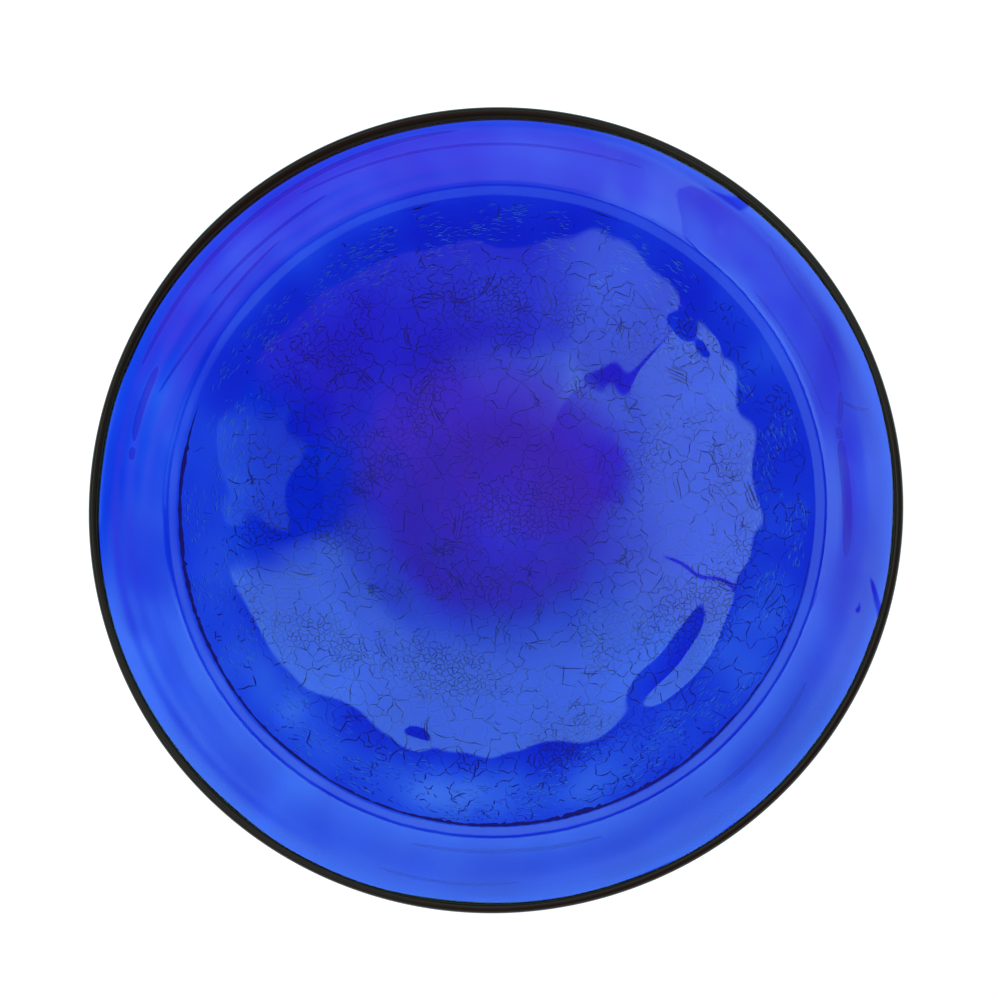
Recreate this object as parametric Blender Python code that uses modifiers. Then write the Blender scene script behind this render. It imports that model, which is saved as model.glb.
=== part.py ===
"""Crackle-glass bird-bath bowl: a mouth-blown cobalt basin with a flared rim, its crackled inner layer
and the black glass thread wrapped round its lip.

Metres, +Z up. The origin is the centre of the base, on the surface that the bowl stands on.
"""

import math

import bpy

MM = 0.001
TURN = 2 * math.pi
SEGMENTS = 64  # round the axis

# The bowl's top surface, from the centre of the well out to the lip, as bends that follow one another.
# Each bend is (radius from the axis where it ends, slope there in degrees, points along it).
FLOOR_HEIGHT = 4.8 * MM  # of the top surface at the centre
WELL_BENDS = (
    (40.0 * MM, 4.0, 3),  # the nearly flat floor
    (126.0 * MM, 31.0, 8),  # the dish
    (139.8 * MM, 34.0, 6),  # the wall, up to where the crackle ends
)
FLANGE_BENDS = (
    (140.9 * MM, 41.0, 3),  # a steeper step up
    (143.8 * MM, 42.0, 2),
    (146.6 * MM, 14.0, 6),  # the shoulder, turning outwards
    (166.0 * MM, 12.0, 2),  # the flared rim
    (174.8 * MM, 26.0, 4),  # the rim's edge, turned up
)

# Glass thicknesses
FOOT_THICKNESS = 5.4 * MM  # at the edge of the foot
WALL_THICKNESS = 3.6 * MM
LIP_THICKNESS = 2.8 * MM
LINING_THICKNESS = 1.4 * MM
GLASS_GAP = 0.3 * MM  # between one glass piece and the next

# The foot: a flat ring round a shallow hollow, which keeps the bowl from rocking
FOOT_RADIUS = 40.0 * MM
FOOT_EDGE_WIDTH = 3.0 * MM  # of the slope from the flat ring out to the round underside
HOLLOW_RADIUS = 26.0 * MM
HOLLOW_EDGE_WIDTH = 8.0 * MM
HOLLOW_EDGE_HEIGHT = 0.6 * MM
HOLLOW_HEIGHT = 1.0 * MM
THICK_GLASS_RADIUS = 125.0 * MM  # the wall has thinned down to its least here

# The lip wrap's oval section, along and across the rim's edge, which sits in its groove
WRAP_ALONG = 1.9 * MM
WRAP_ACROSS = 2.2 * MM
WRAP_OFFSET = 0.7 * MM  # of the oval's centre, past the end of the rim
WRAP_POINTS = 14

COBALT = (0.02, 0.07, 0.62, 1.0)
CRACKLED_BLUE = (0.05, 0.13, 0.72, 1.0)
BLACK_GLASS = (0.012, 0.009, 0.005, 1.0)
GLASS_IOR = 1.5


def clear_scene():
    for obj in list(bpy.data.objects):
        bpy.data.objects.remove(obj)


def glass(name, colour, roughness, transmission):
    material = bpy.data.materials.new(name)
    material.use_nodes = True
    shader = material.node_tree.nodes["Principled BSDF"]
    shader.inputs["Base Color"].default_value = colour
    shader.inputs["Metallic"].default_value = 0.0
    shader.inputs["Roughness"].default_value = roughness
    shader.inputs["Transmission Weight"].default_value = transmission
    shader.inputs["IOR"].default_value = GLASS_IOR
    return material


def bent_line(start, slope, bends):
    """Points (radius, height, slope) along tangent arcs that leave start at that slope.

    Where the slope grows the arc is hollow side up, and where it falls the arc turns over.
    """
    radius, height = start
    slope = math.radians(slope)
    points = [(radius, height, slope)]
    for end_radius, end_slope, count in bends:
        end_slope = math.radians(end_slope)
        bend_radius = (end_radius - radius) / (math.sin(end_slope) - math.sin(slope))
        for step in range(1, count + 1):
            angle = slope + (end_slope - slope) * step / count
            points.append(
                (
                    radius + bend_radius * (math.sin(angle) - math.sin(slope)),
                    height + bend_radius * (math.cos(slope) - math.cos(angle)),
                    angle,
                )
            )
        radius, height, slope = points[-1]
    return points


def below(point, depth):
    """The place at that depth under a point of the top surface, square to the surface there."""
    radius, height, slope = point
    return radius + depth * math.sin(slope), height - depth * math.cos(slope)


def along(point, distance):
    """The place at that distance from a point of the top surface, going outwards along it."""
    radius, height, slope = point
    return radius + distance * math.cos(slope), height + distance * math.sin(slope), slope


def glass_depth(radius):
    """Whole thickness of the glass under a place on the top surface."""
    if radius > THICK_GLASS_RADIUS:
        lip_radius = FLANGE_BENDS[-1][0]
        share = (radius - THICK_GLASS_RADIUS) / (lip_radius - THICK_GLASS_RADIUS)
        return WALL_THICKNESS + (LIP_THICKNESS - WALL_THICKNESS) * share
    share = (THICK_GLASS_RADIUS - radius) / (THICK_GLASS_RADIUS - FOOT_RADIUS)
    return WALL_THICKNESS + (FOOT_THICKNESS - WALL_THICKNESS) * share**2


def underside(top):
    """The basin's outer surface, from the lip in and down to the foot and the hollow under it."""
    points = [below(point, glass_depth(point[0])) for point in reversed(top) if point[0] > FOOT_RADIUS]
    return [point for point in points if point[0] > FOOT_RADIUS + FOOT_EDGE_WIDTH] + [
        (FOOT_RADIUS, 0.0),
        (HOLLOW_RADIUS, 0.0),
        (HOLLOW_RADIUS - HOLLOW_EDGE_WIDTH, HOLLOW_EDGE_HEIGHT),
        (0.0, HOLLOW_HEIGHT),
    ]


def turned(name, outline, material, collection, closed=False):
    """A solid of revolution. The outline runs down its outer side, and is a loop where closed is true."""
    mesh = bpy.data.meshes.new(name)
    edges = [(i, i + 1) for i in range(len(outline) - 1)]
    if closed:
        edges.append((len(outline) - 1, 0))
    mesh.from_pydata([(radius, 0.0, height) for radius, height in outline], edges, [])
    obj = bpy.data.objects.new(name, mesh)
    obj.data.materials.append(material)
    collection.objects.link(obj)

    screw = obj.modifiers.new("turn", "SCREW")
    screw.axis = "Z"
    screw.angle = TURN
    screw.steps = SEGMENTS
    screw.render_steps = SEGMENTS
    screw.use_merge_vertices = True
    screw.merge_threshold = 0.01 * MM
    screw.use_smooth_shade = True
    return obj


def make_basin(well, flange, collection):
    """The smooth coloured glass. Its well is rebated for the lining, up to the foot of the shoulder."""
    seat = [below(point, LINING_THICKNESS + GLASS_GAP) for point in well]
    seat[0] = (0.0, seat[0][1])
    rim = [(radius, height) for radius, height, _ in flange]
    outline = seat + rim + underside(well + flange[1:])
    return turned("glass_basin", outline, glass("cobalt_glass", COBALT, 0.03, 1.0), collection)


def make_lining(well, collection):
    """The crackled inner layer: it fills the well and ends just under the shoulder."""
    edge = along(well[-1], -GLASS_GAP)
    skin = well[:-1] + [edge]
    top = [(radius, height) for radius, height, _ in skin]
    bottom = [below(point, LINING_THICKNESS) for point in reversed(skin)]
    bottom[-1] = (0.0, bottom[-1][1])
    material = glass("crackled_glass", CRACKLED_BLUE, 0.05, 1.0)
    return turned("crackle_lining", top + bottom, material, collection)


def make_lip_wrap(rim_end, collection):
    """The black thread: an oval ring with a groove that the end of the rim stands in."""
    half_groove = LIP_THICKNESS / 2 + GLASS_GAP
    slope = rim_end[2]
    middle = below(rim_end, LIP_THICKNESS / 2)

    def place(forward, upward):
        """A place beside the middle of the rim's end: forward along the rim, and upward across it."""
        return (
            middle[0] + forward * math.cos(slope) - upward * math.sin(slope),
            middle[1] + forward * math.sin(slope) + upward * math.cos(slope),
        )

    horn = math.pi - math.asin(half_groove / WRAP_ACROSS)
    oval = []
    for step in range(WRAP_POINTS + 1):
        angle = horn - 2 * horn * step / WRAP_POINTS
        oval.append(place(WRAP_OFFSET + WRAP_ALONG * math.cos(angle), WRAP_ACROSS * math.sin(angle)))
    groove = [place(GLASS_GAP, -half_groove), place(GLASS_GAP, half_groove)]
    material = glass("black_glass", BLACK_GLASS, 0.12, 0.0)
    return turned("lip_wrap", oval + groove, material, collection, closed=True)


def main():
    clear_scene()
    collection = bpy.data.collections.new("bird_bath_bowl")
    bpy.context.scene.collection.children.link(collection)

    well = bent_line((0.0, FLOOR_HEIGHT), 0.0, WELL_BENDS)
    shoulder_start = well[-1]
    flange = bent_line(shoulder_start[:2], math.degrees(shoulder_start[2]), FLANGE_BENDS)
    make_basin(well, flange, collection)
    make_lining(well, collection)
    make_lip_wrap(flange[-1], collection)


main()
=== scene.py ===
"""Looks for the crackle-glass bird-bath bowl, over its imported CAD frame. Metres, +Z up."""

import math

import bpy
import numpy as np
from mathutils import Matrix, Vector
from mathutils.geometry import delaunay_2d_cdt


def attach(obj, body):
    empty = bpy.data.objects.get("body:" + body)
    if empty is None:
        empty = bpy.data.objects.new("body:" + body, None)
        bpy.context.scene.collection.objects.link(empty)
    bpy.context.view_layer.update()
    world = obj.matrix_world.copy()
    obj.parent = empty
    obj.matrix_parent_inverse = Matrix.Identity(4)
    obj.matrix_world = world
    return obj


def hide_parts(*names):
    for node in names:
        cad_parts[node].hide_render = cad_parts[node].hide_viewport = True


MM = 0.001
TURN = 2 * math.pi

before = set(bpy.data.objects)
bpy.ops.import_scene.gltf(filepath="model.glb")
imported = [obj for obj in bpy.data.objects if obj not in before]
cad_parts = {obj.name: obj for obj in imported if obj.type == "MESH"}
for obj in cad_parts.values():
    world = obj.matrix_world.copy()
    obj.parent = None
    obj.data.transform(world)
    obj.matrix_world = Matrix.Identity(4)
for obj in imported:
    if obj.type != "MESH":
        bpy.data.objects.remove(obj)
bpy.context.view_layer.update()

# ---------------------------------------------------------------- shape of the bowl, as in the CAD
FLOOR_HEIGHT = 4.8
BENDS = (
    (40.0, 4.0),
    (126.0, 31.0),
    (139.8, 34.0),
    (140.9, 41.0),
    (143.8, 42.0),
    (146.6, 14.0),
    (166.0, 12.0),
    (174.8, 26.0),
)
WALL_TOP = 139.8  # radius where the crackle ends and a steeper step leads up to the shoulder
FOOT_THICKNESS, WALL_THICKNESS, LIP_THICKNESS = 5.4, 3.6, 2.8
FOOT_RADIUS, THICK_GLASS_RADIUS = 40.0, 125.0
FOOT_BLEND = 9.0  # how far the foot's flat ring takes to turn up into the round underside
HOLLOW_RADIUS, HOLLOW_HEIGHT = 26.0, 1.0
WRAP_ALONG, WRAP_ACROSS = 1.85, 2.15  # half the width and thickness of the lip wrap's oval
WRAP_OFFSET = 0.7  # of its middle, past the end of the rim

AROUND = 720  # points round the bowl
LINING_DEPTHS = (0.35, 1.65)  # of the lining's two faces under the top surface
OPEN_CRACK_DEPTH = 0.05  # of the middle of the bold cracks, which break the surface


def meridian(step=1.0):
    """The bowl's top surface from its centre to its lip, as rows of (radius, height, slope, arc length)."""
    rows = [(0.0, FLOOR_HEIGHT, 0.0, 0.0)]
    radius, height, slope, length = rows[0]
    for end_radius, end_slope in BENDS:
        end_slope = math.radians(end_slope)
        bend = (end_radius - radius) / (math.sin(end_slope) - math.sin(slope))
        arc = bend * (end_slope - slope)
        count = max(4, math.ceil(arc / step), math.ceil(abs(end_slope - slope) / math.radians(3)))
        for i in range(1, count + 1):
            angle = slope + (end_slope - slope) * i / count
            rows.append(
                (
                    radius + bend * (math.sin(angle) - math.sin(slope)),
                    height + bend * (math.cos(slope) - math.cos(angle)),
                    angle,
                    length + bend * (angle - slope),
                )
            )
        radius, height, slope, length = rows[-1]
    return np.array(rows)


def thickness(radius):
    """Whole glass thickness under a place on the top surface."""
    out = (radius - THICK_GLASS_RADIUS) / (BENDS[-1][0] - THICK_GLASS_RADIUS)
    inner = (THICK_GLASS_RADIUS - radius) / (THICK_GLASS_RADIUS - FOOT_RADIUS)
    thin = WALL_THICKNESS + (LIP_THICKNESS - WALL_THICKNESS) * out
    thick = WALL_THICKNESS + (FOOT_THICKNESS - WALL_THICKNESS) * np.clip(inner, 0, 1) ** 2
    return np.where(radius > THICK_GLASS_RADIUS, thin, thick)


class Waves:
    """A smooth uneven field over the bowl: a seeded sum of bent sine waves, about -1 to 1."""

    def __init__(self, seed, lengths, count=7):
        rng = np.random.default_rng(seed)
        self.terms = []
        for length in lengths:
            for _ in range(count):
                angle = rng.uniform(0, TURN)
                size = TURN / (length * rng.uniform(0.75, 1.3))
                self.terms.append(
                    (size * math.cos(angle), size * math.sin(angle), rng.uniform(0, TURN), length)
                )
        self.scale = sum(t[3] ** 2 for t in self.terms) ** -0.5 * 1.2

    def __call__(self, x, y):
        bend_x = 6 * np.sin(y / 31.0 + 1.3) + 3 * np.sin((x + y) / 17.0)
        bend_y = 6 * np.sin(x / 27.0 + 0.4) + 3 * np.sin((x - y) / 19.0 + 2.0)
        x, y = x + bend_x, y + bend_y
        return self.scale * sum(length * np.sin(kx * x + ky * y + p) for kx, ky, p, length in self.terms)


TOP_WAVES = Waves(3, (24.0, 45.0, 80.0))
UNDER_WAVES = Waves(8, (18.0, 40.0, 75.0))
MERIDIAN = meridian()
LENGTHS = MERIDIAN[:, 3]
LIP_LENGTH = LENGTHS[-1]
WALL_LENGTH = float(np.interp(WALL_TOP, MERIDIAN[:, 0], LENGTHS))
EDGE_LENGTH = WALL_LENGTH - 0.3  # where the crackled layer ends


def stretch(theta):
    """Slightly out of round: how much of its true radius the bowl has in this direction."""
    return 0.9985 + 0.0004 * np.cos(2 * theta - 1.3) + 0.0005 * np.cos(3 * theta)


def wrapped(turn):
    """The same angle between minus and plus half a turn."""
    return np.arctan2(np.sin(turn), np.cos(turn))


# Places where the hot glass was pressed: radius, direction in degrees, height, size across and around, in mm
DENTS = (
    (92.0, -33.0, -0.75, 7.5, 36.0),
    (104.5, -39.0, 0.62, 5.5, 21.0),
    (115.0, -38.0, -0.40, 5.5, 19.0),
    (152.0, 0.0, 0.34, 3.2, 20.0),
    (106.0, -110.0, 0.35, 3.5, 5.0),
    (111.0, 46.0, -0.85, 6.5, 9.0),
    (119.0, 38.0, 0.35, 3.0, 3.5),
    (22.0, 56.0, -0.10, 2.2, 4.0),
    (63.0, 27.0, -0.16, 4.0, 6.0),
    (88.0, 172.0, 0.30, 7.0, 9.0),
    (104.0, 15.0, 0.20, 7.0, 12.0),
)
RIPPLES = Waves(17, (7.0, 13.0))
FAR_LEFT = math.radians(150)


def dents(x, y):
    total = 0.0
    for radius, direction, height, across, around in DENTS:
        out = np.hypot(x, y) - radius
        aside = radius * wrapped(np.arctan2(y, x) - math.radians(direction))
        total = total + height * np.exp(-((out / across) ** 2) - (aside / around) ** 2)
    return total


def top_wave(x, y, length):
    """Height of the hand-made unevenness of the top surface, in mm: it dies out towards the lip."""
    fade = np.clip((LIP_LENGTH - length) / 12.0, 0, 1)
    theta = np.arctan2(y, x)
    on_rim = np.clip((length - WALL_LENGTH - 9) / 6.0, 0, 1)
    turn = wrapped(theta - FAR_LEFT)
    streaks = 0.07 * np.clip(0.15 + np.cos(turn), 0, 1) * RIPPLES(length, 9.0 * turn) * on_rim
    sag = np.exp(-(((length - WALL_LENGTH - 24) / 8.0) ** 2)) * np.clip(0.15 + np.cos(theta + 0.55), 0, 1)
    wide = 0.15 * TOP_WAVES(x, y)
    return (wide + streaks - 0.4 * sag + dents(x, y)) * fade


def on_surface(length, theta, depth=0.0):
    """Places in mm at that arc length and direction, that deep under the top surface."""
    radius = np.interp(length, LENGTHS, MERIDIAN[:, 0])
    height = np.interp(length, LENGTHS, MERIDIAN[:, 1])
    slope = np.interp(length, LENGTHS, MERIDIAN[:, 2])
    x, y = radius * np.cos(theta), radius * np.sin(theta)
    depth = depth - top_wave(x, y, length)
    out = (radius + depth * np.sin(slope)) * stretch(theta)
    return np.stack([out * np.cos(theta), out * np.sin(theta), height - depth * np.cos(slope)], -1)


def mesh_object(name, points, faces, material, smooth=True):
    mesh = bpy.data.meshes.new(name)
    mesh.from_pydata([tuple(p) for p in np.asarray(points) * MM], [], [tuple(f) for f in faces])
    mesh.materials.append(material)
    obj = bpy.data.objects.new(name, mesh)
    bpy.context.scene.collection.objects.link(obj)
    if smooth:
        mesh.shade_smooth()
    return obj


def ring_faces(first, second, count):
    """Quads between two rings of points that start at those indices."""
    return [
        (first + i, first + (i + 1) % count, second + (i + 1) % count, second + i) for i in range(count)
    ]


def lathe(rings, cap_first, cap_last):
    """Points and faces of rings (n, count, 3) joined in a row, with a point at either end or in a loop."""
    count = rings.shape[1]
    points = rings.reshape(-1, 3)
    faces = []
    for i in range(len(rings) - 1):
        faces += ring_faces(i * count, (i + 1) * count, count)
    extra = []
    if cap_first is not None:
        extra.append(cap_first)
        at = len(points)
        faces += [(at, (i + 1) % count, i) for i in range(count)]
    if cap_last is not None:
        at = len(points) + len(extra)
        extra.append(cap_last)
        base = (len(rings) - 1) * count
        faces += [(at, base + i, base + (i + 1) % count) for i in range(count)]
    if cap_first is None and cap_last is None:
        faces += ring_faces((len(rings) - 1) * count, 0, count)
    if extra:
        points = np.concatenate([points, np.array(extra)])
    return points, faces


# ---------------------------------------------------------------- materials
GLASS_IOR = 1.5
COBALT = (0.055, 0.44, 0.927, 1)  # what the glass lets through
COBALT_DENSITY = 1800.0
# The lining's purple tint, strongest round this middle: partly the glass's own tint, partly painted shade of
# the floor shadowed under the bowl's middle
SHADE_CLOUD_MIDDLE = (-0.030, 0.040, 0)
SHADE_CLOUD_REACH = (0.115, 0.030)  # from its middle, where it has faded out and where it is whole
PURPLE_AND_SHADE_TINT = (1.0, 0.62, 0.93, 1)


class Nodes:
    """Short ways to wire a node tree."""

    def __init__(self, tree):
        self.tree = tree
        self.tree.nodes.clear()

    def new(self, kind, **values):
        node = self.tree.nodes.new(kind)
        for key, value in values.items():
            setattr(node, key, value)
        return node

    def put(self, socket, value):
        if isinstance(value, bpy.types.NodeSocket):
            self.tree.links.new(value, socket)
        else:
            socket.default_value = value

    def math(self, operation, *values):
        node = self.new("ShaderNodeMath", operation=operation)
        for socket, value in zip(node.inputs, values):
            self.put(socket, value)
        return node.outputs[0]

    def ramp(self, value, low, high):
        """0 below low to 1 above high, eased."""
        node = self.new("ShaderNodeMapRange", interpolation_type="SMOOTHSTEP")
        self.put(node.inputs["Value"], value)
        self.put(node.inputs["From Min"], low)
        self.put(node.inputs["From Max"], high)
        return node.outputs[0]

    def mix(self, factor, a, b):
        node = self.new("ShaderNodeMix", data_type="RGBA")
        self.put(node.inputs["Factor"], factor)
        self.put(node.inputs[6], a)
        self.put(node.inputs[7], b)
        return node.outputs[2]

    def noise(self, vector, scale, detail):
        node = self.new("ShaderNodeTexNoise")
        self.put(node.inputs["Vector"], vector)
        node.inputs["Scale"].default_value = scale
        node.inputs["Detail"].default_value = detail
        return node.outputs["Fac"]


def new_material(name):
    material = bpy.data.materials.new(name)
    material.use_nodes = True
    g = Nodes(material.node_tree)
    out = g.new("ShaderNodeOutputMaterial")
    shader = g.new("ShaderNodeBsdfPrincipled")
    g.put(out.inputs["Surface"], shader.outputs[0])
    return material, g, shader, out


def cobalt_glass():
    material, g, shader, out = new_material("cobalt_glass")
    shader.inputs["Base Color"].default_value = (0.93, 0.97, 1.0, 1)
    shader.inputs["Roughness"].default_value = 0.0
    shader.inputs["IOR"].default_value = GLASS_IOR
    shader.inputs["Transmission Weight"].default_value = 1.0
    volume = g.new("ShaderNodeVolumeAbsorption")
    volume.inputs["Color"].default_value = COBALT
    volume.inputs["Density"].default_value = COBALT_DENSITY
    g.put(out.inputs["Volume"], volume.outputs[0])
    return material


def clear_tint(name, colour):
    """Glass that only tints what is seen through it: it lies inside the clear glass."""
    material, _, shader, _ = new_material(name)
    shader.inputs["Base Color"].default_value = colour
    shader.inputs["Roughness"].default_value = 0.0
    shader.inputs["IOR"].default_value = 1.0
    shader.inputs["Transmission Weight"].default_value = 1.0
    return material


def lining_glass():
    """The crackled glass is tinted purple, most round a place a little to the far left of its middle: partly
    the glass's own purplish tint, partly painted shade for the shadowed floor under the bowl's middle.
    """
    material, g, shader, _ = new_material("crackled_glass")
    place = g.new("ShaderNodeTexCoord").outputs["Object"]
    shader.inputs["Roughness"].default_value = 0.0
    shader.inputs["IOR"].default_value = 1.0
    shader.inputs["Transmission Weight"].default_value = 1.0
    wander = g.noise(place, 22.0, 3.0)
    middle = g.new("ShaderNodeVectorMath", operation="DISTANCE")
    flat = g.new("ShaderNodeVectorMath", operation="MULTIPLY")
    g.put(flat.inputs[0], place)
    flat.inputs[1].default_value = (1, 1, 0)
    g.put(middle.inputs[0], flat.outputs[0])
    middle.inputs[1].default_value = SHADE_CLOUD_MIDDLE
    uneven = g.math("MULTIPLY", g.math("SUBTRACT", wander, 0.5), 0.08)
    far = g.math("ADD", middle.outputs["Value"], uneven)
    # Purple tint with painted shade, fading out from the middle
    purple_and_shade = g.ramp(far, *SHADE_CLOUD_REACH)
    g.put(shader.inputs["Base Color"], g.mix(purple_and_shade, (1, 1, 1, 1), PURPLE_AND_SHADE_TINT))
    return material


def frost(name, colour):
    material, _, shader, _ = new_material(name)
    shader.inputs["Base Color"].default_value = colour
    shader.inputs["Roughness"].default_value = 0.6
    shader.inputs["Specular IOR Level"].default_value = 0.1
    return material


def black_glass():
    material, _, shader, _ = new_material("black_glass")
    shader.inputs["Base Color"].default_value = (0.012, 0.006, 0.002, 1)
    shader.inputs["Roughness"].default_value = 0.18
    shader.inputs["Specular IOR Level"].default_value = 0.22
    shader.inputs["Specular Tint"].default_value = (1.0, 0.70, 0.60, 1)
    return material


def floor_material():
    material, _, shader, _ = new_material("pale_floor")
    shader.inputs["Base Color"].default_value = (0.35, 0.35, 0.35, 1)
    shader.inputs["Roughness"].default_value = 0.9
    shader.inputs["Specular IOR Level"].default_value = 0.0
    shader.inputs["Emission Color"].default_value = (1, 1, 1, 1)
    shader.inputs["Emission Strength"].default_value = 0.9
    return material


# ---------------------------------------------------------------- pieces


def underside_lift(radius, height, theta):
    """How far the underside is pushed up, in mm, which thins the glass; below 0 the glass swells."""
    lift = 0.30 * UNDER_WAVES(radius * np.cos(theta), radius * np.sin(theta))
    lift = lift + (0.7 + 1.1 * np.cos(theta - math.radians(262))) * np.exp(-(((radius - 127) / 15) ** 2))
    turn = wrapped(theta - math.radians(128))
    lift = lift - 0.8 * np.exp(-((turn / 0.7) ** 2) - ((radius - 132) / 8) ** 2)
    lift = lift - (0.55 + 0.75 * np.cos(theta + 0.7)) * np.exp(-(((radius - 161) / 9) ** 2))
    lift = lift - (0.8 + 0.4 * np.cos(theta - 0.35)) * np.exp(-(((radius - 170) / 6) ** 2))
    return lift * np.clip((height - 2) / 10, 0, 1) * np.clip((173 - radius) / 5, 0, 1)


def make_basin():
    theta = np.arange(AROUND) * TURN / AROUND
    length = LENGTHS[1:]
    grid_length, grid_theta = np.meshgrid(length, theta, indexing="ij")
    top = on_surface(grid_length, grid_theta)

    radius, height, slope = MERIDIAN[:, 0], MERIDIAN[:, 1], MERIDIAN[:, 2]
    deep = thickness(radius)
    under_radius = radius + deep * np.sin(slope)
    under_height = height - deep * np.cos(slope)
    keep = under_radius > FOOT_RADIUS + FOOT_BLEND
    profile = [(r, z) for r, z in zip(under_radius[keep][::-1], under_height[keep][::-1])]
    blend_radius, blend_height = profile[-1]
    for r in np.arange(blend_radius - 1, FOOT_RADIUS - 4, -1.0):
        share = (r - FOOT_RADIUS + 4) / (blend_radius - FOOT_RADIUS + 4)
        profile.append((r, blend_height * share**1.9))
    profile += [(r, 0.0) for r in np.arange(FOOT_RADIUS - 4, HOLLOW_RADIUS, -1.5)]
    for r in np.arange(HOLLOW_RADIUS, 0.5, -1.0):
        profile.append((r, HOLLOW_HEIGHT * (0.5 + 0.5 * math.cos(math.pi * r / HOLLOW_RADIUS))))
    rim_radius, rim_height = profile[0]
    end_slope = slope[-1]
    lip = []
    middle_r, middle_z = (radius[-1] + rim_radius) / 2, (height[-1] + rim_height) / 2
    half = LIP_THICKNESS / 2
    for i in range(1, 8):  # the rounded end of the rim
        angle = math.pi * i / 8
        up = math.cos(angle) * half
        out = math.sin(angle) * half * 0.5
        lip.append(
            (
                middle_r + out * math.cos(end_slope) - up * math.sin(end_slope),
                middle_z + out * math.sin(end_slope) + up * math.cos(end_slope),
            )
        )
    profile = np.array(lip + profile)
    at, level = profile[:, 0][:, None], profile[:, 1][:, None]
    x, y = at * np.cos(theta), at * np.sin(theta)
    size = stretch(theta) * np.ones_like(x)
    under = np.stack([x * size, y * size, level + underside_lift(at, level, theta)], -1)

    rings = np.concatenate([top, under])
    centre = on_surface(np.array([0.0]), np.array([0.0]))[0]
    points, faces = lathe(rings, centre, (0.0, 0.0, HOLLOW_HEIGHT))
    basin = mesh_object("basin_glass", points, [f[::-1] for f in faces], cobalt_glass())
    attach(basin, "root")
    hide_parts("glass_basin")


def make_lining():
    theta = np.arange(AROUND) * TURN / AROUND
    edge = WALL_LENGTH - 1.0
    length = LENGTHS[(LENGTHS > 0.5) & (LENGTHS < edge)]
    grid_length, grid_theta = np.meshgrid(length, theta, indexing="ij")
    upper, lower = LINING_DEPTHS
    top = on_surface(grid_length, grid_theta, upper)
    bottom = on_surface(grid_length, grid_theta, lower)[::-1]
    rings = np.concatenate([top, bottom])
    zero = np.array([0.0])
    points, faces = lathe(rings, on_surface(zero, zero, upper)[0], on_surface(zero, zero, lower)[0])
    lining = mesh_object("crackle_lining_glass", points, [f[::-1] for f in faces], lining_glass())
    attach(lining, "root")
    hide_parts("crackle_lining")


def crack_edges():
    """The crackle as lines on the unrolled well: pairs of end points (n, 2, 2) in mm."""
    rng = np.random.default_rng(21)
    density = Waves(5, (30.0, 60.0))
    reach = WALL_LENGTH - 1.5
    spacing = 2.5
    side = np.arange(-reach - 6, reach + 6, spacing)
    x, y = np.meshgrid(side, side)
    x = x.ravel() + rng.uniform(-0.5, 0.5, x.size) * spacing
    y = y.ravel() + rng.uniform(-0.5, 0.5, y.size) * spacing
    dense = density(x, y)
    keep = rng.random(x.size) < np.clip(0.12 + 1.1 * (dense - 0.15), 0.1, 0.9)
    keep &= np.hypot(x, y) < reach + 5
    x, y = x[keep], y[keep]
    verts, _, tris, *_ = delaunay_2d_cdt([Vector(p) for p in zip(x, y)], [], [], 0, 1e-6)
    verts = np.array([tuple(v) for v in verts])
    tris = np.array([tuple(t) for t in tris])
    a, b, c = verts[tris[:, 0]], verts[tris[:, 1]], verts[tris[:, 2]]
    d = 2 * (a[:, 0] * (b[:, 1] - c[:, 1]) + b[:, 0] * (c[:, 1] - a[:, 1]) + c[:, 0] * (a[:, 1] - b[:, 1]))
    aa, bb, cc = (a**2).sum(1), (b**2).sum(1), (c**2).sum(1)
    ux = (aa * (b[:, 1] - c[:, 1]) + bb * (c[:, 1] - a[:, 1]) + cc * (a[:, 1] - b[:, 1])) / d
    uy = (aa * (c[:, 0] - b[:, 0]) + bb * (a[:, 0] - c[:, 0]) + cc * (b[:, 0] - a[:, 0])) / d
    middle = np.stack([ux, uy], 1)
    sides = {}
    for i, tri in enumerate(tris):
        for p, q in ((0, 1), (1, 2), (2, 0)):
            key = (min(tri[p], tri[q]), max(tri[p], tri[q]))
            sides.setdefault(key, []).append(i)
    pairs = np.array([v for v in sides.values() if len(v) == 2])
    ends = np.stack([middle[pairs[:, 0]], middle[pairs[:, 1]]], 1)
    span = np.linalg.norm(ends[:, 0] - ends[:, 1], axis=1)
    far = np.linalg.norm(ends, axis=2).max(1)
    good = (span > 0.35) & (span < 16) & (far < reach)
    return ends[good]


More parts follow.
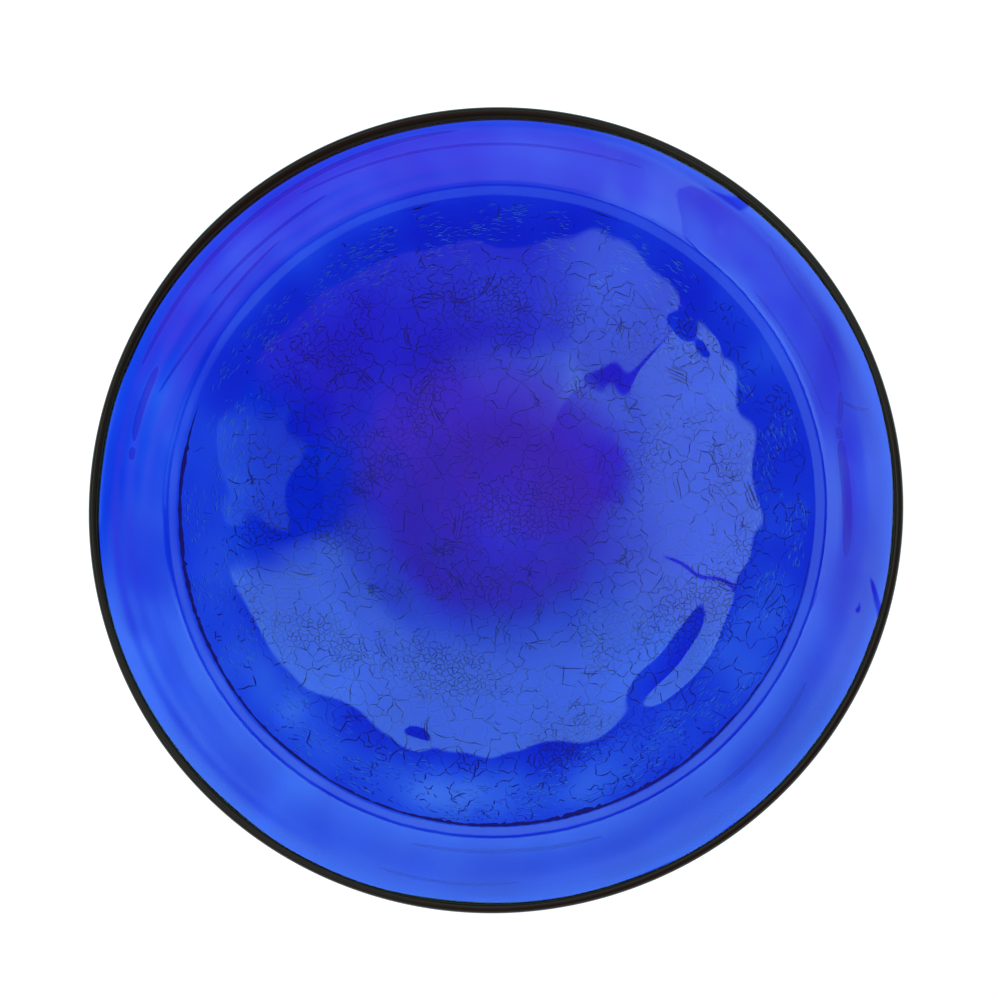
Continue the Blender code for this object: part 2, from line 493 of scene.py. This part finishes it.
def crack_lines():
    """Every crack as four places along it on the unrolled well, in mm: (n, 4, 2)."""
    rng = np.random.default_rng(4)
    ends = crack_edges()
    ends = ends[rng.random(len(ends)) < 0.93]
    count = len(ends)
    start, stop = ends[:, 0], ends[:, 1]
    line = stop - start
    side = np.stack([-line[:, 1], line[:, 0]], 1)
    trim = rng.uniform(-0.06, 0.05, (count, 2, 1))
    start, stop = start + line * trim[:, 0], stop - line * trim[:, 1]
    bow = side * rng.normal(0, 0.08, (count, 1))
    twist = side * rng.normal(0, 0.11, (count, 1))
    middle = (start + stop) / 2
    turn = np.degrees(np.arctan2(middle[:, 1], middle[:, 0]))
    on_wall = np.hypot(*middle.T) > WALL_LENGTH - 25 + rng.normal(0, 3, count)
    chance = 0.05 + 0.75 * np.exp(-(((turn + 15) / 45) ** 2)) + 0.3 * np.exp(-(((turn + 95) / 30) ** 2))
    kept = ~on_wall | (rng.random(count) < chance)
    start, stop, bow, twist = start[kept], stop[kept], bow[kept], twist[kept]
    first = start * 0.66 + stop * 0.34 + bow + twist
    second = start * 0.33 + stop * 0.67 + bow - twist
    net = np.stack([start, first, second, stop], 1)

    rays = []  # short cracks that run out from a point, and bundles that run side by side
    reach = WALL_LENGTH * 0.80
    for _ in range(46):
        middle = rng.uniform(-1, 1, 2) * reach
        if np.hypot(*middle) > reach:
            continue
        turn = rng.uniform(0, TURN)
        for _ in range(rng.integers(4, 9)):
            turn += rng.uniform(0.5, 1.2)
            way = np.array([math.cos(turn), math.sin(turn)])
            across = np.array([-way[1], way[0]]) * rng.normal(0, 0.5)
            size = rng.uniform(2.0, 6.5)
            first = middle + way * size * 0.35 + across * 0.6
            second = middle + way * size * 0.7 + across
            rays.append([middle, first, second, middle + way * size])
    for _ in range(60):
        middle = rng.uniform(-1, 1, 2) * reach
        if np.hypot(*middle) > reach:
            continue
        turn = rng.uniform(0, TURN)
        bend = rng.normal(0, 1.6)
        for k in range(rng.integers(2, 5)):
            turn += rng.normal(0, 0.06)
            way = np.array([math.cos(turn), math.sin(turn)])
            across = np.array([-way[1], way[0]])
            size = rng.uniform(6, 15)
            base = middle + across * k * rng.uniform(0.9, 1.7) + way * rng.uniform(-3, 3)
            first = base - way * size / 6 + across * bend * 0.9
            second = base + way * size / 6 + across * bend
            rays.append([base - way * size / 2, first, second, base + way * size / 2])
    return np.concatenate([net, np.array(rays)])


def on_well(flat, deep):
    """The unrolled well's places (..., 2) laid back on it, that deep in the glass."""
    length = np.minimum(np.hypot(flat[..., 0], flat[..., 1]), WALL_LENGTH - 1.2)
    return on_surface(length, np.arctan2(flat[..., 1], flat[..., 0]), deep)


def slivers(name, lines, width, deep, thick, material):
    """Thin closed slivers of lozenge section along lines (n, 4, 2), all in one piece."""
    along = np.gradient(lines, axis=1)
    along /= np.linalg.norm(along, axis=2, keepdims=True) + 1e-9
    side = np.stack([-along[..., 1], along[..., 0]], -1) * width[:, None, None] / 2
    taper = np.array([0.25, 1.0, 0.9, 0.25])[None, :, None]
    deep = deep[:, None] + np.zeros(lines.shape[:2])
    corners = np.stack(
        [
            on_well(lines + side * taper, deep),
            on_well(lines, deep - thick / 2),
            on_well(lines - side * taper, deep),
            on_well(lines, deep + thick / 2),
        ],
        2,
    )
    faces = []
    for base in range(0, len(lines) * 16, 16):
        for a in (base, base + 4, base + 8):
            faces += [(a + k, a + (k + 1) % 4, a + 4 + (k + 1) % 4, a + 4 + k) for k in range(4)]
        faces.append((base + 3, base + 2, base + 1, base))
        faces.append((base + 12, base + 13, base + 14, base + 15))
    made = mesh_object(name, corners.reshape(-1, 3), faces, material, smooth=False)
    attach(made, "root")
    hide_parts("crackle_lining")


def make_cracks():
    lines = crack_lines()
    rng = np.random.default_rng(9)
    middle = lines.mean(1)
    bold = rng.random(len(lines)) < 0.55 + 0.35 * Waves(31, (22.0, 40.0))(middle[:, 0], middle[:, 1])
    width = rng.uniform(0.45, 0.80, len(lines))
    deep = rng.uniform(0.6, 1.0, len(lines))
    open_crack = frost("crack_dark", (0.012, 0.010, 0.26, 1))
    shallow = np.full(bold.sum(), OPEN_CRACK_DEPTH)
    slivers("cracks_bold", lines[bold], width[bold], shallow, 0.16, open_crack)
    faint = clear_tint("crack_faint", (0.45, 0.42, 0.68, 1))
    slivers("cracks_faint", lines[~bold], width[~bold] * 0.8, deep[~bold], 0.10, faint)


def make_ticks():
    """Short bright cracks that run round the wall, where the glass was stretched as it opened. Their pale
    colour is a painted reflection of the bright studio that the real fissures catch.
    """
    rng = np.random.default_rng(15)
    count = 5200
    length = rng.uniform(WALL_LENGTH - 36, WALL_LENGTH - 3, count)
    theta = rng.uniform(0, TURN, count)
    x, y = length * np.cos(theta), length * np.sin(theta)
    patches = Waves(41, (16.0, 34.0))(x, y)
    edge = np.clip((length - WALL_LENGTH + 36) / 14, 0, 1)
    keep = rng.random(count) < np.clip(0.5 + 1.1 * patches, 0, 1) * edge
    keep &= ~((np.abs(np.degrees(theta) - 35) < 14) & (length > WALL_LENGTH - 18))
    x, y, theta = x[keep], y[keep], theta[keep]
    turn = theta + math.pi / 2 + rng.normal(0, 0.22, len(x))
    way = np.stack([np.cos(turn), np.sin(turn)], 1)
    across = np.stack([-way[:, 1], way[:, 0]], 1)
    size = rng.uniform(1.2, 4.2, (len(x), 1))
    bend = rng.normal(0, 0.12, (len(x), 1))
    middle = np.stack([x, y], 1)
    lines = np.stack(
        [
            middle - way * size / 2,
            middle - way * size / 6 + across * bend,
            middle + way * size / 6 + across * bend,
            middle + way * size / 2,
        ],
        1,
    )
    width = rng.uniform(0.16, 0.34, len(x))
    # Pale frosted colour: a painted reflection of the light the fissures catch
    light = frost("crack_painted_glint", (0.50, 0.80, 1.0, 1))
    slivers("wall_ticks", lines, width, np.full(len(x), 0.45), 0.06, light)
    aside = (middle / np.linalg.norm(middle, axis=1, keepdims=True) * 0.45)[:, None, :]
    shade = clear_tint("crack_shade", (0.35, 0.30, 0.62, 1))
    slivers("wall_tick_shades", (lines + aside)[::2], width[::2], np.full(len(x[::2]), 0.8), 0.08, shade)


def make_painted_shade_edge():
    """A jagged dark sliver where the crackled layer ends, round the near and left sides of the wall: its
    darkness is painted shade for the dark line that the steep step shows there.
    """
    rng = np.random.default_rng(27)
    count = AROUND * 2
    theta = np.arange(count) * TURN / count
    place, teeth = np.arange(count), count // 5
    tooth = np.interp(place, np.sort(rng.choice(count, teeth, replace=False)), rng.uniform(0, 1, teeth))
    fine = np.interp(place, place[::3], rng.uniform(0, 1, len(place[::3])))
    degrees = np.degrees(theta)
    present = np.clip((degrees - 160) / 10, 0, 1) * np.clip((352 - degrees) / 14, 0, 1)
    scraps = np.exp(-(((degrees - 104) / 1.6) ** 2)) + np.exp(-(((degrees - 70) / 2.2) ** 2))
    present = np.clip(present + scraps, 0, 1)
    # The painted shade is strongest on the left and on the near side
    bold = 0.35 + 0.65 * np.clip(np.cos(theta - math.radians(180)), 0, 1) ** 2
    bold = np.maximum(bold, np.exp(-(((degrees - 285) / 42) ** 2)))
    down = present * bold * (0.5 + 1.5 * tooth**2 + 0.7 * fine)
    up = present * bold * (0.35 + 0.5 * fine)
    rings = [
        on_surface(EDGE_LENGTH - down, theta, -0.02),
        on_surface(EDGE_LENGTH + up, theta, -0.02),
        on_surface(EDGE_LENGTH + up, theta, 0.12),
        on_surface(EDGE_LENGTH - down, theta, 0.12),
    ]
    points, faces = lathe(np.array(rings), None, None)
    kept = []
    for face in faces:
        if present[[i % count for i in face]].min() > 0.02:
            kept.append(face)
    used = present > 0.02
    for i in range(count):  # close both ends of each run
        after = (i + 1) % count
        if used[i] and not used[after]:
            kept.append(tuple(k * count + i for k in range(4)))
        if used[after] and not used[i]:
            kept.append(tuple(k * count + after for k in range(3, -1, -1)))
    # Dark navy: painted shade for the dark line at the steep step
    dark = frost("crack_edge_painted_shade", (0.012, 0.004, 0.13, 1))
    edge = mesh_object("broken_edge", points, kept, dark, smooth=False)
    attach(edge, "root")
    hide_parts("crackle_lining")


# Cords of denser glass in the rim: places along each (radius in mm, direction in degrees) and width in mm
CORDS = (
    (((153.5, 10.5), (153.2, 5.0), (153.8, -2.0), (154.5, -9.0)), 4.2),
    (((153.4, 12.6), (153.6, 11.4), (153.3, 10.6)), 3.0),
    (((167.0, 44.0), (163.0, 36.0), (162.6, 29.0), (159.6, 18.5)), 1.1),
    (((159.0, 18.0), (157.0, 15.5), (154.5, 13.0)), 2.4),
    (((168.5, 14.0), (164.0, 14.6), (158.0, 16.6)), 1.6),
    (((148.5, 40.0), (148.4, 33.0), (148.8, 26.5), (149.6, 15.0)), 0.8),
    (((161.5, 157.0), (161.8, 161.0), (162.0, 165.0), (161.6, 169.5)), 3.2),
    (((161.2, 170.4), (161.4, 171.4), (161.1, 172.4)), 2.6),
    (((153.0, 128.0), (151.5, 142.0), (153.0, 152.0), (157.0, 161.0)), 1.5),
    (((168.5, 95.0), (168.2, 118.0), (167.6, 142.0), (168.0, 158.0)), 2.0),
    (((158.5, 118.0), (157.0, 130.0), (157.5, 143.0)), 1.6),
    (((164.0, 66.0), (162.0, 84.0), (162.5, 104.0), (164.5, 122.0)), 1.3),
    (((152.0, -72.0), (150.8, -88.0), (151.6, -104.0)), 1.8),
    (((164.5, -86.0), (165.5, -97.0), (165.0, -108.0)), 1.4),
    (((156.0, -30.0), (157.5, -42.0), (156.5, -55.0)), 2.2),
)


def make_cords():
    """Faint lens-shaped streaks inside the rim, each a closed sliver of denser glass."""
    points, faces = [], []
    stations = 40
    for places, width in CORDS:
        along = np.linspace(0, 1, stations)
        at = np.linspace(0, 1, len(places))
        radius, direction = np.array(places).T
        order = min(3, len(places) - 1)
        radius = np.polyval(np.polyfit(at, radius, order), along)
        theta = np.radians(np.polyval(np.polyfit(at, direction, order), along))
        length = np.interp(radius, MERIDIAN[:, 0], LENGTHS)
        x, y = length * np.cos(theta), length * np.sin(theta)
        way = np.stack([np.gradient(x), np.gradient(y)], 1)
        way /= np.linalg.norm(way, axis=1, keepdims=True)
        side = np.stack([-way[:, 1], way[:, 0]], 1)
        half = width / 2 * np.sqrt(np.clip(1 - (2 * along - 1) ** 4, 0.0004, 1))[:, None]
        base = len(points)
        for shift, deep in ((1, 1.2), (0, 1.0), (-1, 1.2), (0, 1.4)):
            place = np.stack([x, y], 1) + side * half * shift
            ring = on_surface(np.hypot(*place.T), np.arctan2(place[:, 1], place[:, 0]), deep)
            points += list(ring)
        for k in range(4):
            n = (k + 1) % 4
            for i in range(stations - 1):
                a, b = base + k * stations + i, base + n * stations + i
                faces.append((a, b, b + 1, a + 1))
        faces.append(tuple(base + k * stations for k in (3, 2, 1, 0)))
        faces.append(tuple(base + k * stations + stations - 1 for k in range(4)))
    denser = clear_tint("cord", (0.30, 0.42, 0.80, 1))
    cords = mesh_object("rim_cords", points, faces, denser, smooth=False)
    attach(cords, "root")
    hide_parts("glass_basin")


def make_specks():
    """Grains of dark grit in the glass of the rim and the well."""
    rng = np.random.default_rng(33)
    count = 420
    length = np.sqrt(rng.uniform(0, 1, count)) * (LIP_LENGTH - 5)
    theta = rng.uniform(0, TURN, count)
    size = rng.uniform(0.10, 0.24, count)[:, None]
    middle = on_surface(length, theta, rng.uniform(0.5, 1.4, count))
    shape = np.array([(1, 0, 0), (0, 1, 0), (-1, 0, 0), (0, -1, 0), (0, 0, 1), (0, 0, -1)])
    sides = [(0, 1, 4), (1, 2, 4), (2, 3, 4), (3, 0, 4), (1, 0, 5), (2, 1, 5), (3, 2, 5), (0, 3, 5)]
    points = middle[:, None, :] + shape[None] * size[:, None, :] * rng.uniform(0.7, 1.3, (count, 6, 1))
    faces = [tuple(i * 6 + k for k in side) for i in range(count) for side in sides]
    dark = frost("grit", (0.01, 0.01, 0.08, 1))
    specks = mesh_object("grit", points.reshape(-1, 3), faces, dark, smooth=False)
    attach(specks, "root")
    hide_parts("glass_basin")


def make_lip():
    theta = np.arange(AROUND) * TURN / AROUND
    end = MERIDIAN[-1]
    slope = end[2]
    middle_r = end[0] + LIP_THICKNESS / 2 * math.sin(slope)
    middle_z = end[1] - LIP_THICKNESS / 2 * math.cos(slope)
    uneven = Waves(12, (60.0, 140.0))(178 * np.cos(theta), 178 * np.sin(theta))
    wide = 1.9 * np.exp(-(((theta - math.radians(112)) / 0.8) ** 2)) + 0.5
    rings = []
    steps = 28
    for i in range(steps):
        angle = TURN * i / steps
        along = np.full(AROUND, WRAP_ALONG * math.cos(angle) + WRAP_OFFSET)
        across = WRAP_ACROSS * math.sin(angle)
        if math.cos(angle) < 0:  # the inner lips of the wrap creep along the glass unevenly
            along = along + (0.3 * uneven + wide) * math.cos(angle)
        r = (middle_r + along * math.cos(slope) - across * math.sin(slope)) * stretch(theta)
        z = middle_z + along * math.sin(slope) + across * math.cos(slope)
        rings.append(np.stack([r * np.cos(theta), r * np.sin(theta), z], -1))
    points, faces = lathe(np.array(rings), None, None)
    lip = mesh_object("lip_wrap_glass", points, faces, black_glass())
    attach(lip, "root")
    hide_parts("lip_wrap")


# ---------------------------------------------------------------- studio


def make_floor():
    side = 6.0
    mesh = bpy.data.meshes.new("floor")
    corners = [(-side, -side, 0), (side, -side, 0), (side, side, 0), (-side, side, 0)]
    mesh.from_pydata(corners, [], [(0, 1, 2, 3)])
    mesh.materials.append(floor_material())
    floor = bpy.data.objects.new("floor", mesh)
    bpy.context.scene.collection.objects.link(floor)
    floor.location.z = -0.0002


LEFT_AND_FAR, RIGHT, SIDE, CEILING, GLOW = 2.5, 0.65, 0.12, 0.3, 0.12  # how bright the panels are
PANEL_EDGE = 0.80  # how far out of straight up the panels reach


def make_world():
    """A studio of light panels overhead, as a function of direction. The camera sees plain white."""
    world = bpy.data.worlds.new("studio")
    bpy.context.scene.world = world
    world.use_nodes = True
    g = Nodes(world.node_tree)
    out = g.new("ShaderNodeOutputWorld")
    direction = g.new("ShaderNodeTexCoord").outputs["Generated"]
    apart = g.new("ShaderNodeSeparateXYZ")
    g.put(apart.inputs[0], direction)
    x, y, z = apart.outputs  # to the right, to the far side and up
    # How far the direction leans from straight up, as a sine
    flat = g.math("SQRT", g.math("ADD", g.math("MULTIPLY", x, x), g.math("MULTIPLY", y, y)))

    def above(value, edge, soft):
        return g.ramp(value, edge - soft, edge + soft)

    def times(*values):
        total = values[0]
        for value in values[1:]:
            total = g.math("MULTIPLY", total, value)
        return total

    def plus(*values):
        total = values[0]
        for value in values[1:]:
            total = g.math("ADD", total, value)
        return total

    def less(value, taken):
        return g.math("SUBTRACT", value, taken)

    over_seam = plus(y, times(x, 0.5))  # the seam between the left and far panels
    under_seam = plus(y, times(x, -1.05), -0.13)  # the seam between the left and near panels
    to_right = plus(y, times(x, -0.36))  # where the far panel fades out
    left_side = less(1.0, above(x, -0.16, 0.06))
    closed = times(g.ramp(y, 0.05, 0.12), less(1.0, g.ramp(flat, 0.50, 0.57)))
    half_seam = times(0.011, less(1.0, closed))
    opened = g.ramp(flat, 0.36, 0.40)  # the near seam is closed for what the flange mirrors
    left = times(
        less(1.0, above(plus(over_seam, half_seam), 0.0, 0.004)),
        above(less(under_seam, times(0.015, opened)), 0.0, 0.005),
        g.ramp(flat, 0.24, 0.55),
        left_side,
    )
    beyond = above(less(over_seam, half_seam), 0.0, 0.004)
    far = times(beyond, g.ramp(to_right, -0.01, 0.16), g.ramp(flat, 0.16, 0.60))
    right = times(above(x, 0.56, 0.015), less(1.0, above(y, 0.18, 0.01)), above(y, -0.16, 0.06))
    side_far = times(above(x, 0.25, 0.08), less(1.0, above(x, 0.46, 0.015)), above(y, -0.3, 0.1))
    toward_near = plus(times(x, -0.8), times(y, -0.6))
    beside = above(plus(under_seam, times(0.02, opened)), 0.0, 0.006)
    near = times(less(1.0, beside), g.ramp(toward_near, 0.0, 0.36))
    gap = times(g.ramp(y, -0.30, -0.42), g.ramp(x, -0.40, -0.12))  # dim over the near side
    toward_left = plus(1.0, times(g.ramp(x, -0.15, -0.30), 0.7))
    near = times(near, less(1.0, times(gap, 0.75)), toward_left)
    # The panels' outer edge comes in a little over the near side
    nearer = times(g.math("MINIMUM", y, 0.0), g.ramp(x, -0.40, -0.05), -0.11)
    overhead = less(1.0, above(plus(flat, nearer), PANEL_EDGE, 0.006))
    overhead = times(overhead, g.math("GREATER_THAN", z, 0.0))
    fill = times(g.ramp(x, -0.15, -0.28), g.ramp(y, -0.02, -0.14), g.ramp(flat, 0.44, 0.37), 0.9)
    middle = less(1.0, g.ramp(flat, 0.15, 0.42))
    panels = plus(
        times(left, LEFT_AND_FAR),
        times(far, LEFT_AND_FAR),
        times(right, RIGHT),
        near,
        times(side_far, SIDE),
        times(middle, CEILING),
        fill,
        GLOW,
    )
    panels = times(panels, overhead)
    low = less(1.0, overhead)
    # Under the panels, a pale band round the horizon
    band = less(g.math("ABSOLUTE", z), plus(times(y, -0.14), 0.30))
    horizon = times(less(1.0, above(band, 0.0, 0.05)), plus(times(y, 0.4), 1.2))
    # The panels are blue, and purplish towards the near side
    purple = less(1.0, g.ramp(plus(y, times(x, 0.6)), 0.0, 0.22))
    red = plus(times(panels, 0.42), times(overhead, purple, 0.35), times(overhead, middle, 0.55))
    red = plus(red, times(low, plus(times(horizon, 0.45), 0.12)))
    green = plus(panels, times(low, plus(times(horizon, 0.95), 0.12)))
    blue = plus(panels, times(overhead, 0.3), times(low, plus(times(horizon, 1.1), 0.12)))
    colour = g.new("ShaderNodeCombineColor")
    for socket, value in zip(colour.inputs, (red, green, blue)):
        g.put(socket, value)

    path = g.new("ShaderNodeLightPath")
    studio = g.new("ShaderNodeBackground")
    g.put(studio.inputs["Color"], colour.outputs[0])
    backdrop = g.new("ShaderNodeBackground")
    backdrop.inputs["Color"].default_value = (1, 1, 1, 1)
    backdrop.inputs["Strength"].default_value = 1.05
    mix = g.new("ShaderNodeMixShader")
    g.put(mix.inputs[0], path.outputs["Is Camera Ray"])
    g.put(mix.inputs[1], studio.outputs[0])
    g.put(mix.inputs[2], backdrop.outputs[0])
    g.put(out.inputs["Surface"], mix.outputs[0])


LENS = 135.0
SENSOR = 36.0
FRAME_WIDTH = 0.4356  # of the view at the lip, in metres
CAMERA_TILT = math.radians(9.3)  # from straight above
CAMERA_SIDE = math.radians(18.0)  # the tilt is towards the near side and this much to the right
AIM = Vector((0.0028, 0.0015, 0.0537))


def make_camera():
    data = bpy.data.cameras.new("camera")
    data.lens = LENS
    data.sensor_width = SENSOR
    data.clip_end = 20
    camera = bpy.data.objects.new("camera", data)
    bpy.context.scene.collection.objects.link(camera)
    back = Vector(
        (
            math.sin(CAMERA_TILT) * math.sin(CAMERA_SIDE),
            -math.sin(CAMERA_TILT) * math.cos(CAMERA_SIDE),
            math.cos(CAMERA_TILT),
        )
    )
    right = Vector((0, 1, 0)).cross(back).normalized()
    up = back.cross(right)
    turn = Matrix((right, up, back)).transposed()
    distance = FRAME_WIDTH * LENS / SENSOR
    camera.matrix_world = Matrix.Translation(AIM + back * distance) @ turn.to_4x4()
    bpy.context.scene.camera = camera


def main():
    make_basin()
    make_lining()
    make_cracks()
    make_ticks()
    make_painted_shade_edge()
    make_cords()
    make_specks()
    make_lip()
    make_floor()
    make_world()
    make_camera()
    scene = bpy.context.scene
    scene.view_settings.view_transform = "Standard"
    scene.cycles.transmission_bounces = 24
    scene.cycles.max_bounces = 24


main()
